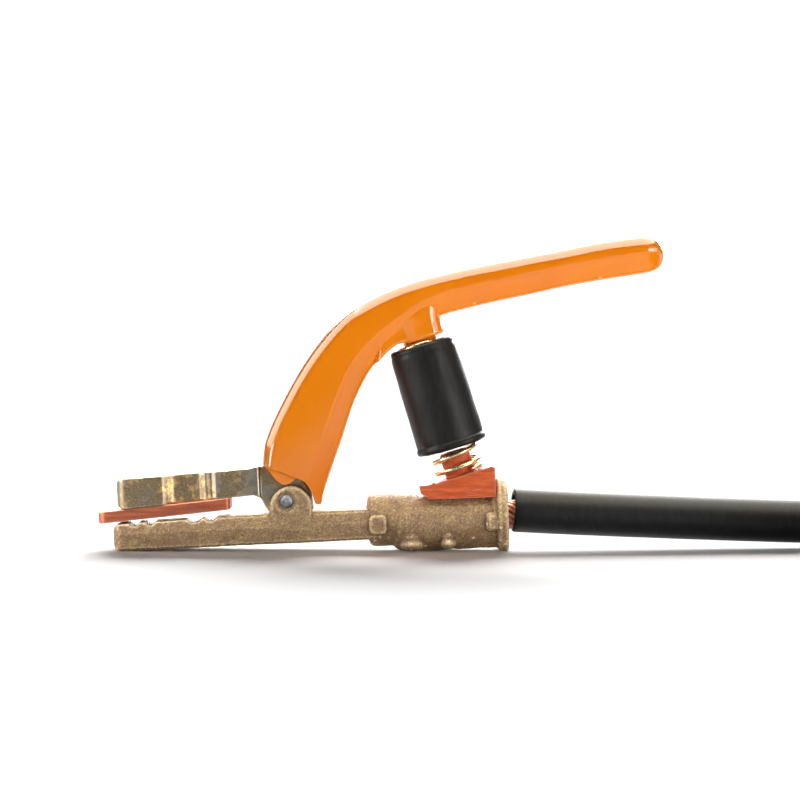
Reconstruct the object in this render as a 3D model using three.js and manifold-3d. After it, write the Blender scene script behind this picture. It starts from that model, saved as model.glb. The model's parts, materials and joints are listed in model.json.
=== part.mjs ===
// Electrode holder for arc welding: a brass lower jaw with a cable barrel, a sprung lever with a steel
// upper jaw and a copper contact plate, and its cable, folded into a hank with a plug on the end.
// Millimetres, +Z up, +X from the jaws towards the cable, on the plane Z = 0. The origin is at the middle
// of the holder, on that plane. The holder's own pieces are drawn about the pivot, with the bar along X,
// and the whole holder is then tipped forward onto its jaw tip and its flange.

import * as THREE from 'three';
import { mergeVertices } from 'three/addons/utils/BufferGeometryUtils.js';
import Module from 'manifold-3d';

const wasm = await Module();
wasm.setup();

// ---------------------------------------------------------------- driving dimensions

const GAP = 0.3; // between pieces that touch

// the brass casting, about the pivot
const BAR = { front: -71.9, bottom: -17.5, top: -4.5, width: 21, edge: 2.2 };
const EAR = { x: 1.7, z: -2.7, radius: 8.4, thick: 4.7 };
const NECK = { front: 33.6, back: 52, radius: 10.3, z: -10.3 };
const BARREL = { back: 88, radius: 12, z: -11, saddle: -1.6 };
const FLANGE = { front: 86.5, back: 90.5, radius: 14.2 };
const SCREW_BOSS = [
  { name: 'front', x: 50, length: 14, screw: 3.9 },
  { name: 'rear', x: 66, length: 9, screw: 2.9 },
];
const BOSS = { width: 19.4, bottom: -23 };
const BORE = { front: 42, radius: 7.2, z: -10.6 };

// the pivot
const HUB = { radius: 9, width: 11 };
const PIN = { radius: 3, length: 22.4 };

// the upper jaw and its contact plate
const JAW = { front: -69.7, bottom: -0.95, height: 10.8, width: 18, slope: 0.0594 };
const PLATE = { front: -77.7, back: -23.4, bottom: -6.1, thick: 4.2, width: 17, slope: 0.0524 };
const RIVET = { radius: 2.4, at: [-60, -41.2] };

// the lever
const LEVER = { width: 23, wall: 3, edge: 1.2 };
const TAIL_WIDTH = 10;

// the spring, its seat and its sleeve
const SPRING = { foot: [71.4, 7.4], height: 58, lean: 12.3, radius: 9.1, wire: 1.05, turns: 11 };
const SPIGOT = { radius: 6.9, height: 10 };
const SEAT = { left: 54.5, right: 85.9, bottom: -4, width: 22 };
const SLEEVE = { from: 10, length: 44.6, bottom: 14.1, top: 12.7 };

// the cable, its hank and its plug
const CABLE = { diameter: 18.2, strands: 6.1 };
const FERRULE = { inner: 6.4, outer: 6.9, front: 43, back: 88.5 };
const FOLD = 3 * CABLE.diameter;
const HANK = { left: 259, straight: 218.5, far: 14.6, lift: 1.2, layer: 18.5, layers: 3 };
const TIE = { width: 16, thick: 1.2, inset: 42 };
const TAIL = { length: 62, gap: 0.8 };
const PLUG = { radius: 17, neck: 13.5, boot: 85, pin: 6.5, reach: 32, socket: 9.5 };

// ---------------------------------------------------------------- materials

function finish(color, roughness, metalness) {
  return new THREE.MeshStandardMaterial({ color, roughness, metalness });
}

const brass = () => finish(0xa58c62, 0.55, 0.9);
const steel = () => finish(0x6f6c5c, 0.4, 0.9);
const copper = () => finish(0xa5533b, 0.45, 0.85);
const zinc = () => finish(0xb5a67a, 0.35, 0.9);
const orange = () => finish(0xee8418, 0.35, 0);
const fibre = () => finish(0xc2532a, 0.6, 0);
const rubber = () => finish(0x26272a, 0.6, 0);
const webbing = () => finish(0x3a3c40, 0.9, 0);

// ---------------------------------------------------------------- solids

// a closed geometry as a solid that can be joined and cut
function solid(geometry) {
  const bare = geometry.clone();
  bare.deleteAttribute('normal');
  bare.deleteAttribute('uv');
  const merged = mergeVertices(bare);
  const vertProperties = new Float32Array(merged.attributes.position.array);
  const triVerts = new Uint32Array(merged.index.array);
  return new wasm.Manifold(new wasm.Mesh({ numProp: 3, vertProperties, triVerts }));
}

function geometryOf(piece) {
  const { vertProperties, triVerts } = piece.getMesh();
  const geometry = new THREE.BufferGeometry();
  geometry.setAttribute('position', new THREE.BufferAttribute(vertProperties, 3));
  geometry.setIndex(new THREE.BufferAttribute(triVerts, 1));
  geometry.computeVertexNormals();
  return geometry;
}

// a side view, drawn in X and Z, given a width along Y and a rounded edge
function slab(outline, width, { edge = 0, y = 0 } = {}) {
  const depth = width - 2 * edge;
  const geometry = new THREE.ExtrudeGeometry(outline, {
    depth,
    curveSegments: 4,
    bevelEnabled: edge > 0,
    bevelThickness: edge,
    bevelSize: edge,
    bevelOffset: -edge,
    bevelSegments: 2,
  });
  geometry.translate(0, 0, -depth / 2);
  geometry.rotateX(Math.PI / 2);
  geometry.translate(0, y, 0);
  return solid(geometry);
}

// a plan view, drawn in X and Y, given a height from z
function block(outline, z, height) {
  const settings = { depth: height, curveSegments: 6, bevelEnabled: false };
  const geometry = new THREE.ExtrudeGeometry(outline, settings);
  geometry.translate(0, 0, z);
  return solid(geometry);
}

function box(x0, x1, y0, y1, z0, z1) {
  const geometry = new THREE.BoxGeometry(x1 - x0, y1 - y0, z1 - z0);
  geometry.translate((x0 + x1) / 2, (y0 + y1) / 2, (z0 + z1) / 2);
  return solid(geometry);
}

// a round bar between two points
function bar(from, to, radius, sides = 24, end = radius) {
  const a = new THREE.Vector3(...from);
  const b = new THREE.Vector3(...to);
  const geometry = new THREE.CylinderGeometry(end, radius, a.distanceTo(b), sides);
  geometry.applyQuaternion(new THREE.Quaternion().setFromUnitVectors(
    new THREE.Vector3(0, 1, 0), b.clone().sub(a).normalize()));
  geometry.translate((a.x + b.x) / 2, (a.y + b.y) / 2, (a.z + b.z) / 2);
  return solid(geometry);
}

function outlineOf(points) {
  return new THREE.Shape(points.map(([x, y]) => new THREE.Vector2(x, y)));
}

// a rectangle with one radius at its left corners and another at its right ones
function rounded(x0, x1, y0, y1, left, right) {
  const shape = new THREE.Shape();
  shape.moveTo(x0 + left, y0);
  shape.lineTo(x1 - right, y0);
  if (right > 0) shape.absarc(x1 - right, y0 + right, right, -Math.PI / 2, 0, false);
  if (right > 0) shape.absarc(x1 - right, y1 - right, right, 0, Math.PI / 2, false);
  else shape.lineTo(x1, y1);
  shape.lineTo(x0 + left, y1);
  shape.absarc(x0 + left, y1 - left, left, Math.PI / 2, Math.PI, false);
  shape.absarc(x0 + left, y0 + left, left, Math.PI, 1.5 * Math.PI, false);
  return shape;
}

function meshOf(name, piece, material) {
  const mesh = new THREE.Mesh(piece.isBufferGeometry ? piece : geometryOf(piece), material);
  mesh.name = name;
  return mesh;
}

// ---------------------------------------------------------------- the brass casting

function jawBar() {
  const { front, bottom, top, width, edge } = BAR;
  const side = new THREE.Shape();
  side.moveTo(front + 2.5, bottom);
  side.lineTo(NECK.front + 4, bottom);
  side.lineTo(NECK.front + 4, top);
  side.lineTo(EAR.x, top);
  side.lineTo(-8, -5.4);
  side.lineTo(-28, -5.95);
  side.lineTo(front + 2.5, -6.15);
  side.absarc(front + 2.5, -8.65, 2.5, Math.PI / 2, Math.PI, false);
  side.absarc(front + 2.5, bottom + 2.5, 2.5, Math.PI, 1.5 * Math.PI, false);
  const plan = block(rounded(front, NECK.front + 5, -width / 2, width / 2, 5, 0), bottom - 1, 40);
  let made = slab(side, width, { edge }).intersect(plan);
  // grooves for the electrode, across the gripping face: place, radius and depth
  const grooves = [[-63.2, 2.2, 1.1], [-56.4, 2.4, 1.1], [-38.3, 4.2, 1.5], [-31.7, 3.2, 1.4]];
  for (const [x, radius, depth] of grooves) {
    const z = -6.1 - depth + radius;
    made = made.subtract(bar([x, -width, z], [x, width, z], radius, 14));
  }
  return made;
}

function ear(side) {
  const shape = new THREE.Shape();
  shape.moveTo(EAR.x - EAR.radius, -12);
  shape.lineTo(EAR.x + EAR.radius, -12);
  shape.lineTo(EAR.x + EAR.radius, EAR.z);
  shape.absarc(EAR.x, EAR.z, EAR.radius, 0, Math.PI, false);
  return slab(shape, EAR.thick, { edge: 0.7, y: side * (BAR.width - EAR.thick) / 2 });
}

// a low pad that stands out of both sides of the casting
function sidePads(x0, x1, z0, z1, reach) {
  return slab(rounded(x0, x1, z0, z1, 1.6, 1.6), 2 * reach, { edge: 0.8 });
}

function screwBoss({ x, length }) {
  const shape = new THREE.Shape();
  shape.absellipse(x, 0, length / 2, BOSS.width / 2, 0, 2 * Math.PI, false);
  return block(shape, BOSS.bottom, BARREL.z - BOSS.bottom);
}

function jawBody() {
  const along = (x0, x1, z, radius, end) => bar([x0, 0, z], [x1, 0, z], radius, 32, end);
  let made = jawBar().add(ear(1)).add(ear(-1));
  made = made.add(along(NECK.front, NECK.front + 2.2, NECK.z, NECK.radius - 1.6, NECK.radius));
  made = made.add(along(NECK.front + 2.2, NECK.back, NECK.z, NECK.radius));
  made = made.add(sidePads(32.6, 40.2, -15.9, -7.8, 11.4));
  const barrel = along(NECK.back - 4, BARREL.back, BARREL.z, BARREL.radius);
  made = made.add(barrel.subtract(box(40, 100, -20, 20, BARREL.saddle, 10)));
  made = made.add(along(FLANGE.front, FLANGE.front + 1, BARREL.z, FLANGE.radius - 1, FLANGE.radius));
  made = made.add(along(FLANGE.front + 1, FLANGE.back, BARREL.z, FLANGE.radius));
  made = made.add(sidePads(81.2, 88.2, -16.7, -8.9, 13.6));
  for (const boss of SCREW_BOSS) made = made.add(screwBoss(boss));
  // the slot between the ears, the pin's hole, the cable's bore and the screws' holes
  const half = HUB.width / 2 + GAP;
  made = made.subtract(bar([0, -half, 0], [0, half, 0], HUB.radius + 0.5, 32));
  made = made.subtract(bar([0, -20, 0], [0, 20, 0], PIN.radius + GAP, 16));
  made = made.subtract(along(BORE.front, 100, BORE.z, BORE.radius));
  for (const { x, screw } of SCREW_BOSS) {
    made = made.subtract(bar([x, 0, BORE.z], [x, 0, -30], screw + GAP, 16));
  }
  return made;
}

// a set screw with a hexagon socket, between the boss and the ferrule
function clampScrew({ name, x, screw }) {
  const bottom = BOSS.bottom + 0.6;
  const made = bar([x, 0, bottom], [x, 0, BORE.z - FERRULE.outer - GAP], screw, 16);
  const socket = bar([x, 0, bottom - 1], [x, 0, bottom + 2.2], screw * 0.55, 6);
  return meshOf(`cable_clamp_screw_${name}`, made.subtract(socket), steel());
}

// ---------------------------------------------------------------- the upper jaw

const jawBottom = (x) => JAW.bottom + JAW.slope * (x - JAW.front);
const plateBottom = (x) => PLATE.bottom + PLATE.slope * (x - PLATE.front);

function upperJaw() {
  const { front, height, width } = JAW;
  const side = new THREE.Shape();
  side.moveTo(front, jawBottom(front) + 2.5);
  side.quadraticCurveTo(front, jawBottom(front), front + 2.5, jawBottom(front));
  side.lineTo(-13.4, jawBottom(-13.4));
  side.bezierCurveTo(-10.4, 2.6, -9.4, -1.2, -6.6, -6.1);
  side.absarc(0, 0, HUB.radius, -2.4, 0, false);
  // the tail that stands in the lever
  side.lineTo(9.8, 8);
  side.lineTo(17, 34);
  side.lineTo(11, 37);
  side.lineTo(2.2, 13);
  side.lineTo(-0.6, 6.4);
  side.lineTo(-6.9, 12.1);
  side.lineTo(-9.8, 14.6);
  side.lineTo(-14.6, 14);
  side.lineTo(front + 2.5, jawBottom(front) + height);
  side.quadraticCurveTo(front, jawBottom(front) + height, front, jawBottom(front) + height - 2.5);
  // seen from above: a broad nose, a waist for the electrode's tail, the arm and the hub
  const half = [[-50.6, 9], [-46.9, 5.6], [-35.4, 5.6], [-33.8, 6.3], [-30, 6.3], [-28.4, 7.1],
    [-14.5, 7.1], [-10.4, HUB.width / 2], [30, HUB.width / 2]];
  const plan = new THREE.Shape();
  plan.moveTo(front + 5, -width / 2);
  for (const [x, y] of half) plan.lineTo(x, -y);
  for (const [x, y] of [...half].reverse()) plan.lineTo(x, y);
  plan.lineTo(front + 5, width / 2);
  plan.absarc(front + 5, width / 2 - 5, 5, Math.PI / 2, Math.PI, false);
  plan.absarc(front + 5, 5 - width / 2, 5, Math.PI, 1.5 * Math.PI, false);
  let made = slab(side, width).intersect(block(plan, -20, 80));
  made = made.subtract(bar([0, -20, 0], [0, 20, 0], PIN.radius + GAP, 16));
  for (const x of RIVET.at) made = made.subtract(bar([x, 0, -20], [x, 0, 20], RIVET.radius + GAP, 16));
  // the tail is narrower than the hub, so that it slides into the lever
  const halfTail = TAIL_WIDTH / 2;
  for (const way of [-1, 1]) {
    const [y0, y1] = [way * halfTail, way * 20].sort((a, b) => a - b);
    made = made.subtract(box(-2, 40, y0, y1, 9, 60));
  }
  return made;
}

function contactPlate() {
  const { front, back, thick, width } = PLATE;
  const side = outlineOf([
    [front, plateBottom(front)],
    [back, plateBottom(back)],
    [back, plateBottom(back) + thick],
    [front, plateBottom(front) + thick],
  ]);
  const plan = rounded(front, back, -width / 2, width / 2, 3.5, 2);
  let made = slab(side, width).intersect(block(plan, -20, 40));
  for (const x of RIVET.at) made = made.subtract(bar([x, 0, -20], [x, 0, 20], RIVET.radius + GAP, 16));
  return made;
}

function contactRivet(name, x) {
  const low = plateBottom(x) + 0.3;
  const high = jawBottom(x) + JAW.height - 0.3;
  return meshOf(`contact_rivet_${name}`, bar([x, 0, low], [x, 0, high], RIVET.radius, 16), copper());
}

// ---------------------------------------------------------------- the lever

// the horn's outer edge, from the mouth over the top to the tip, and its inner edge back to the mouth
const OUTER = [[-8.4, 14.5], [-5.9, 24.7], [2.7, 40.7], [13.3, 56.7], [24.5, 69.6], [33.5, 76.5],
  [48.7, 83], [70, 88.8], [100, 94], [133, 99.3], [150, 101]];
const INNER = [[43.8, 58.6], [36.4, 51.5], [31.5, 43.5], [27.8, 35.5], [25.1, 27.4], [22.4, 19.3],
  [17.8, 11.3], [15, 1]];

function spline(shape, points) {
  shape.splineThru(points.map(([x, y]) => new THREE.Vector2(x, y)));
}

function leverOutline() {
  const shape = new THREE.Shape();
  shape.moveTo(...OUTER[0]);
  spline(shape, OUTER.slice(1));
  shape.bezierCurveTo(155, 101.5, 158.6, 98, 158.2, 93.6);
  shape.bezierCurveTo(157.9, 90.6, 156.6, 89.2, 154, 88.7);
  shape.lineTo(131.5, 84.7);
  shape.lineTo(69.6, 74);
  shape.quadraticCurveTo(66.4, 73.2, 66.3, 71.2);
  // the boss that the spring bears on
  shape.lineTo(66.4, 66.1);
  shape.lineTo(48.6, 62.2);
  shape.lineTo(...INNER[0]);
  spline(shape, INNER.slice(1));
  // the mouth
  shape.lineTo(13.8, -2.3);
  shape.lineTo(11.2, -2.3);
  shape.lineTo(11.3, 6);
  shape.lineTo(-6.1, 12.1);
  return shape;
}

function leverHandle() {
  const half = LEVER.width / 2;
  // seen from above: straight sides that draw in to a round tip
  const plan = new THREE.Shape();
  plan.moveTo(-12, -half);
  plan.lineTo(60, -half);
  plan.lineTo(150, -half + 1.5);
  plan.absarc(150, 0, half - 1.5, -Math.PI / 2, Math.PI / 2, false);
  plan.lineTo(60, half);
  plan.lineTo(-12, half);
  let made = slab(leverOutline(), LEVER.width, { edge: LEVER.edge }).intersect(block(plan, -20, 140));
  // the hollow in the horn, open at the mouth
  const hollow = outlineOf([[-5, -6], [-5.6, 14.5], [-2.6, 24.4], [4.5, 38.5], [9, 45], [22, 43], [20, 27],
    [17.5, 17], [14, 8.6], [11.3, 6], [11.2, -6]]);
  made = made.subtract(slab(hollow, LEVER.width - 2 * LEVER.wall));
  const [x, z] = springPoint(SPRING.height + 3);
  const [a, b] = springPoint(SPRING.height - SPIGOT.height);
  return made.add(bar([x, 0, z], [a, 0, b], SPIGOT.radius, 20));
}

// ---------------------------------------------------------------- the spring

const LEAN = THREE.MathUtils.degToRad(SPRING.lean);

// a point on the spring's axis, at a height above its seat
function springPoint(height) {
  return [SPRING.foot[0] - height * Math.sin(LEAN), SPRING.foot[1] + height * Math.cos(LEAN)];
}

// stands a mesh whose axis is +Z on the spring's axis
function stand(mesh, height = 0) {
  const [x, z] = springPoint(height);
  mesh.position.set(x, 0, z);
  mesh.rotation.y = -LEAN;
  return mesh;
}

class Coil extends THREE.Curve {
  getPoint(t, target = new THREE.Vector3()) {
    const { radius, wire, turns, height } = SPRING;
    const dead = 2 * wire + 0.35; // the closed end coils' pitch
    const low = wire + GAP;
    const span = height - 2 * low;
    const turn = t * turns;
    const pitch = (span - 2 * dead) / (turns - 2);
    let z = dead + (turn - 1) * pitch;
    if (turn < 1) z = turn * dead;
    if (turn > turns - 1) z = span - (turns - turn) * dead;
    const angle = 2 * Math.PI * turn;
    return target.set(radius * Math.cos(angle), radius * Math.sin(angle), low + z);
  }
}

function spring() {
  const section = new THREE.Shape();
  section.absarc(0, 0, SPRING.wire, 0, 2 * Math.PI, false);
  const geometry = new THREE.ExtrudeGeometry(section, {
    steps: 12 * SPRING.turns,
    curveSegments: 3,
    extrudePath: new Coil(),
  });
  return stand(meshOf('spring', geometry, zinc()));
}

function springSleeve() {
  const { length, bottom, top } = SLEEVE;
  const profile = [[top - 1.7, length], [top - 0.9, length], [top, length - 1.2], [bottom - 0.9, 3.2],
    [bottom, 2.6], [bottom, 0.6], [bottom - 0.6, 0], [bottom - 2.4, 0], [top - 1.7, length]];
  const geometry = new THREE.LatheGeometry(profile.map(([r, y]) => new THREE.Vector2(r, y)).reverse(), 32);
  geometry.rotateX(Math.PI / 2);
  return stand(meshOf('spring_sleeve', geometry, rubber()), SLEEVE.from);
}

function springSeat() {
  const { left, right, bottom, width } = SEAT;
  const rise = Math.tan(LEAN);
  const incline = (x) => SPRING.foot[1] + (x - SPRING.foot[0]) * rise;
  const side = outlineOf([[left, bottom], [right, bottom], [right, incline(right)], [60.5, incline(60.5)],
    [58.5, 3.3], [left, 3.1]]);
  const barrel = bar([40, 0, BARREL.z], [100, 0, BARREL.z], BARREL.radius + GAP, 40);
  const seat = slab(side, width, { edge: 0.5 }).subtract(
    barrel.subtract(box(30, 110, -20, 20, BARREL.saddle + GAP, 10)));
  const [x, z] = springPoint(-2);
  const [a, b] = springPoint(SPIGOT.height);
  return seat.add(bar([x, 0, z], [a, 0, b], SPIGOT.radius, 20));
}

// ---------------------------------------------------------------- the cable

// a round tube through points
function tube(points, radius, steps) {
  const section = new THREE.Shape();
  section.absarc(0, 0, radius, 0, 2 * Math.PI, false);
  const path = new THREE.CatmullRomCurve3(points.map((p) => new THREE.Vector3(...p)));
  return new THREE.ExtrudeGeometry(section, { steps, curveSegments: 6, extrudePath: path });
}

const FLOOR = CABLE.diameter / 2;
const NEAR = HANK.far - 2 * FOLD;
const MIDDLE = HANK.far - FOLD;
const RIGHT = HANK.left + HANK.straight;
const LEAD_END = 213;

// from the barrel down to the floor, where the hank begins
const LEAD = [[56.4, 0, 16.6], [75, 1.7, 15.6], [95, 3.6, 14.6], [115, 5.7, 13.7], [135, 7.8, 12.8],
  [155, 9.7, 12], [175, 11.4, 11.3], [195, 12.9, 10.8], [LEAD_END, 13.8, 10.5]];

function oval(grow) {
  const shape = new THREE.Shape();
  shape.absarc(RIGHT, MIDDLE, FOLD + grow, -Math.PI / 2, Math.PI / 2, false);
  shape.absarc(HANK.left, MIDDLE, FOLD + grow, Math.PI / 2, 1.5 * Math.PI, false);
  return shape;
}

// the turns of the hank, three high all round and four high where the last half turn lies on them
function hank() {
  const outline = oval(FLOOR);
  outline.holes.push(oval(-FLOOR));
  const low = HANK.lift;
  const high = low + (HANK.layers - 1) * HANK.layer + CABLE.diameter;
  const top = block(outline, high - 1, HANK.layer + 1);
  const gone = box(HANK.left, RIGHT, NEAR - 20, MIDDLE, high, high + 40);
  const [y0, y1] = [HANK.far - FLOOR, HANK.far + FLOOR];
  const entry = box(LEAD_END + 1, HANK.left + 10, y0, y1, low, low + CABLE.diameter);
  let made = block(outline, low, high - low).add(top.subtract(gone)).add(entry);
  for (const tie of TIES) made = made.subtract(strap(tie, TIE.thick + GAP, TIE.width + 2 * GAP));
  return made;
}

// straps on the two straight runs; the far one is a layer higher
const TIES = ['far', 'near'].flatMap((run) => ['left', 'right'].map((end) => ({
  name: `hank_tie_${run}_${end}`,
  x: end === 'left' ? HANK.left + TIE.inset : RIGHT - TIE.inset,
  y: run === 'far' ? HANK.far : NEAR,
  top: HANK.lift + HANK.layer * (run === 'far' ? HANK.layers + 1 : HANK.layers) - GAP,
})));

// the space that a strap takes, as a ring around its run
function strap({ x, y, top }, thick, width) {
  const reach = FLOOR + TIE.thick;
  const ring = (grow) => box(x - width / 2, x + width / 2, y - reach - grow, y + reach + grow,
    Math.min(0, -grow), top + TIE.thick + grow);
  const inside = box(x - width, x + width, y - reach + thick, y + reach - thick,
    thick, top + TIE.thick - thick);
  return ring(0).subtract(inside);
}

function plugPieces() {
  const z = HANK.lift + HANK.layer * HANK.layers + PLUG.radius;
  const back = RIGHT - TAIL.length - GAP;
  const front = back - PLUG.boot;
  const along = (x0, x1, radius, end) => bar([x0, NEAR, z], [x1, NEAR, z], radius, 24, end);
  const screws = [back - 32, back - 48];
  // the boot: a plain grip with a tapered neck, and a socket for the brass body
  const body = along(back, back - 22, PLUG.neck - 1, PLUG.neck).add(
    along(back - 22, back - 34, PLUG.neck, PLUG.radius)).add(along(back - 34, front, PLUG.radius));
  const hollow = along(back + 1, back - 20, CABLE.strands + GAP).add(
    along(back - 20 + GAP, front - 1, PLUG.socket + GAP));
  const boot = body.subtract(hollow);
  // the brass body: a socket for the strands and a pin with a bayonet lug
  const lug = box(front - 26, front - 18, NEAR - 2, NEAR + 2, z, z + PLUG.pin + 2.2);
  const brassBody = along(back - 20, front + 2, PLUG.socket)
    .add(along(front + 4, front - PLUG.reach, PLUG.pin)).add(lug);
  const strandsFront = back - 60;
  const cut = along(back, strandsFront - 1, CABLE.strands + GAP);
  let pin = brassBody.subtract(cut);
  for (const x of screws) pin = pin.subtract(bar([x, NEAR, z], [x, NEAR, z + 20], 2.9 + GAP, 16));
  const made = [
    meshOf('plug_boot', boot, rubber()),
    meshOf('plug_pin', pin, brass()),
    meshOf('plug_conductor', along(back - GAP, strandsFront, CABLE.strands), copper()),
  ];
  for (const [i, x] of screws.entries()) {
    const screw = bar([x, NEAR, z + CABLE.strands + GAP], [x, NEAR, z + PLUG.socket - 0.2], 2.9, 12);
    made.push(meshOf(`plug_clamp_screw_${i ? 'front' : 'rear'}`, screw, steel()));
  }
  return made;
}

function cableTail() {
  const z = HANK.lift + FLOOR + HANK.layer * HANK.layers;
  const span = TAIL.length - 2 * TAIL.gap;
  const rise = PLUG.radius - FLOOR;
  const points = [0, 0.2, 0.4, 0.6, 0.8, 1].map((t) => [
    RIGHT - TAIL.gap - t * span, NEAR, z + rise * t * t * (3 - 2 * t)]);
  return tube(points, FLOOR, 6);
}

// ---------------------------------------------------------------- the assembly

const holder = new THREE.Group();
holder.add(meshOf('jaw_body', jawBody(), brass()));
const pin = bar([0, -PIN.length / 2, 0], [0, PIN.length / 2, 0], PIN.radius, 16);
holder.add(meshOf('pivot_pin', pin, steel()));
holder.add(meshOf('upper_jaw', upperJaw(), steel()));
holder.add(meshOf('contact_plate', contactPlate(), copper()));
holder.add(contactRivet('front', RIVET.at[0]));
holder.add(contactRivet('rear', RIVET.at[1]));
holder.add(meshOf('lever_handle', leverHandle(), orange()));
holder.add(spring());
holder.add(springSleeve());
holder.add(meshOf('spring_seat', springSeat(), fibre()));
for (const boss of SCREW_BOSS) holder.add(clampScrew(boss));
const strands = bar([FERRULE.front, 0, BORE.z], [FLANGE.back + 2.2, 0, BORE.z], CABLE.strands, 20);
const ferrule = bar([FERRULE.front, 0, BORE.z], [FERRULE.back, 0, BORE.z], FERRULE.outer, 28)
  .subtract(bar([FERRULE.front - 1, 0, BORE.z], [FERRULE.back + 1, 0, BORE.z], FERRULE.inner, 20));
holder.add(meshOf('cable_conductor', strands, copper()));
holder.add(meshOf('cable_ferrule', ferrule, copper()));

// the holder tips forward until the tip of its jaw and its flange stand on the plane
const flangeFoot = { x: (FLANGE.front + FLANGE.back) / 2, z: BARREL.z - FLANGE.radius };
const tipFoot = { x: BAR.front + 2.5, z: BAR.bottom };
const TIP = Math.atan((tipFoot.z - flangeFoot.z) / (flangeFoot.x - tipFoot.x));
holder.rotation.y = -TIP;
holder.position.set(-37.9, 0, -(tipFoot.x * Math.sin(TIP) + tipFoot.z * Math.cos(TIP)));

const electrodeHolder = new THREE.Group();
electrodeHolder.add(holder);
electrodeHolder.add(meshOf('cable_lead', tube(LEAD, FLOOR, 5), rubber()));
electrodeHolder.add(meshOf('cable_hank', hank(), rubber()));
electrodeHolder.add(meshOf('cable_tail', cableTail(), rubber()));
for (const tie of TIES) electrodeHolder.add(meshOf(tie.name, strap(tie, TIE.thick, TIE.width), webbing()));
for (const piece of plugPieces()) electrodeHolder.add(piece);

export default electrodeHolder;
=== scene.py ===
"""The looks of an electrode holder: what each piece is shown as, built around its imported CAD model.

The holder's own pieces are drawn in millimetres about the pivot, with the jaw bar along X and Z up, and
HOLDER then places them. The cable, its straps and its plug are drawn in millimetres in the row's frame.
"""
import json
import math

import bmesh
import bpy
from mathutils import Matrix, Vector, noise


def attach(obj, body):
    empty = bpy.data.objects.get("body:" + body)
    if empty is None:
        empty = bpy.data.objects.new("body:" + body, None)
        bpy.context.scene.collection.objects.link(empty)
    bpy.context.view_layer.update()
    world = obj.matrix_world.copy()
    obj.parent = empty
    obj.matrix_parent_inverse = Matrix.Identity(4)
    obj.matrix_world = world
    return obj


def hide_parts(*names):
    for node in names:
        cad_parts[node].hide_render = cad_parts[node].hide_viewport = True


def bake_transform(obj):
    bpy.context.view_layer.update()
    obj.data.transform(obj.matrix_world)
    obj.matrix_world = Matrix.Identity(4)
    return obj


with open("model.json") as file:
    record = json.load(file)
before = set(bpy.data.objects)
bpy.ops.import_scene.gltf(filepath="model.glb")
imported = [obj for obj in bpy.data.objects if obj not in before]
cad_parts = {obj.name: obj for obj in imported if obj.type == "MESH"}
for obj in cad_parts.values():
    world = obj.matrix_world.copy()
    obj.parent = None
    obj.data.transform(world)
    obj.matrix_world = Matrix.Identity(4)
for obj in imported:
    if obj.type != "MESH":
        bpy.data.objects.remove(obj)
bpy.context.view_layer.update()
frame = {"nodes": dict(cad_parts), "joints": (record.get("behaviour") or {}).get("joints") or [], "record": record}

FIXED = "holder_body"
MOVING = "lever"
MM = 0.001
UP = Vector((0, 0, 1))

# ---- places, from the frame

joint = frame["joints"][0]
record = frame["record"]
rest_face = next(m for m in record["mounts"] if m["name"] == "jaw_underside")
TIP = math.atan2(rest_face["axis"][0], -rest_face["axis"][2])
ROW = Matrix.Scale(MM, 4)
HOLDER = Matrix.Translation(joint["pos_m"]) @ Matrix.Rotation(-TIP, 4, "Y") @ ROW


def extent(node, place=HOLDER):
    """A CAD node's lowest and highest corners in millimetres, in the holder's or the row's frame."""
    back = place.inverted()
    points = [back @ v.co for v in frame["nodes"][node].data.vertices]
    return [Vector([pick(p[i] for p in points) for i in range(3)]) for pick in (min, max)]


def linked(name, data):
    """A new object in the scene."""
    obj = bpy.data.objects.new(name, data)
    bpy.context.scene.collection.objects.link(obj)
    return obj


# ---- the camera

VIEW_WIDTH = 330.4  # millimetres that the picture spans at the target
CAMERA = Vector((8.5, -1000.0, 100.0))
TARGET = Vector((8.5, 0.0, 62.1))
ROLL = math.radians(0.12)


def camera():
    """The photograph's viewpoint, a metre in front and looking slightly down."""
    line = TARGET - CAMERA
    data = bpy.data.cameras.new("camera")
    data.sensor_width = 36.0
    data.lens = data.sensor_width * line.length / VIEW_WIDTH
    turn = line.to_track_quat("-Z", "Y").to_matrix().to_4x4() @ Matrix.Rotation(ROLL, 4, "Z")
    obj = linked("camera", data)
    obj.matrix_world = Matrix.Translation(CAMERA * MM) @ turn
    bpy.context.scene.camera = obj


camera()

# ---- meshes


def mesh_object(name, points, faces):
    mesh = bpy.data.meshes.new(name)
    mesh.from_pydata([tuple(p) for p in points], [], faces)
    bm = bmesh.new()
    bm.from_mesh(mesh)
    bmesh.ops.remove_doubles(bm, verts=bm.verts, dist=1e-4)
    bmesh.ops.recalc_face_normals(bm, faces=bm.faces)
    bm.to_mesh(mesh)
    bm.free()
    return linked(name, mesh)


def rings_mesh(name, rings, closed=False):
    """A skin over rings of points that all have the same count, capped unless its ends meet."""
    count = len(rings[0])
    faces = []
    for i in range(len(rings) if closed else len(rings) - 1):
        a = i * count
        b = (i + 1) % len(rings) * count
        faces += [(a + j, a + (j + 1) % count, b + (j + 1) % count, b + j) for j in range(count)]
    if not closed:
        faces.append(tuple(reversed(range(count))))
        faces.append(tuple(range((len(rings) - 1) * count, len(rings) * count)))
    return mesh_object(name, [p for ring in rings for p in ring], faces)


def prism(name, outline, y0, y1):
    """A side view, as points in X and Z, from y0 to y1."""
    return rings_mesh(name, [[(x, y, z) for x, z in outline] for y in (y0, y1)])


def block(name, outline, z0, z1):
    """A plan view, as points in X and Y, from z0 to z1."""
    return rings_mesh(name, [[(x, y, z) for x, y in outline] for z in (z0, z1)])


def beam(name, section, x0, x1):
    """A section, as points in Y and Z, from x0 to x1."""
    return rings_mesh(name, [[(x, y, z) for y, z in section] for x in (x0, x1)])


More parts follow.
